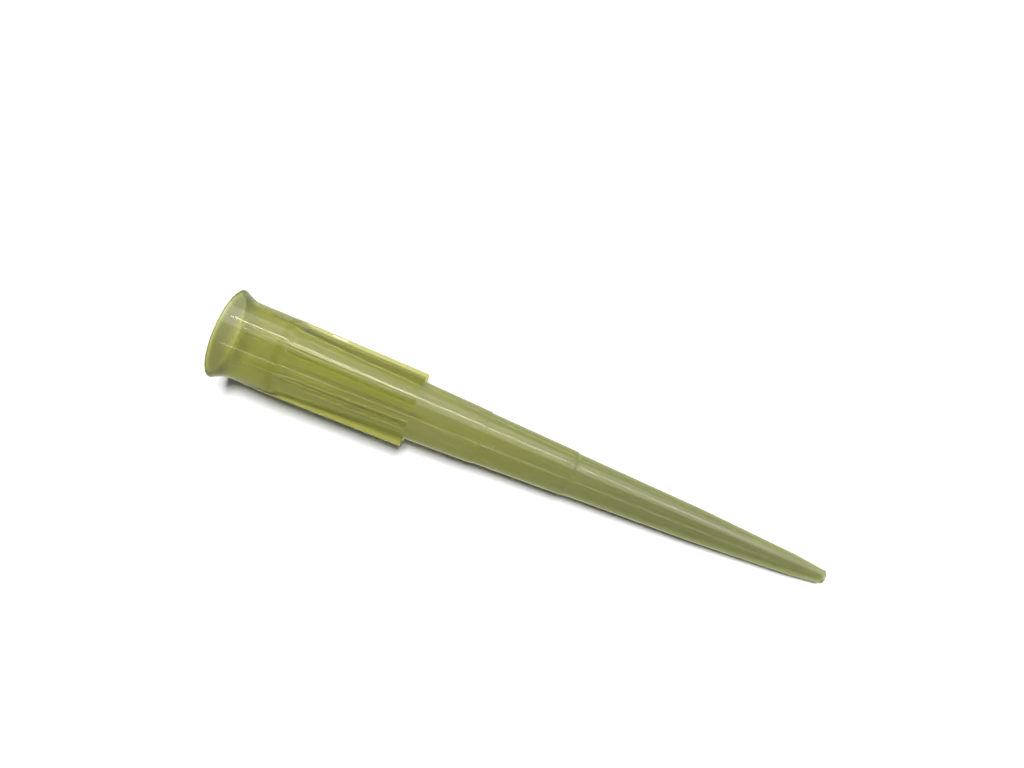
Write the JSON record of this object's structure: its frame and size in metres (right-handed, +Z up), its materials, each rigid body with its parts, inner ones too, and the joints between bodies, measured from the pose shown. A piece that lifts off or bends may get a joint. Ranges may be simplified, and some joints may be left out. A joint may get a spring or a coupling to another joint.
{
  "type": "pipette tip",
  "caption": "Tapered translucent yellow pipette tip with a flared mouth, a smooth socket, a finned collar, small volume steps along the barrel and a slender open nozzle.",
  "frame": {"origin": "middle of the footprint of the tip as it lies on a table, on the table's surface", "axes": "+Z up, +X along the tip towards its narrow end, whose axis dips 3.7 degrees below level"},
  "size_m": [0.0506, 0.0074, 0.0076],
  "materials": {
    "yellow_polypropylene": "satin"
  },
  "bodies": {
    "root": {"pipette_tip": "yellow_polypropylene"}
  },
  "joints": []
}
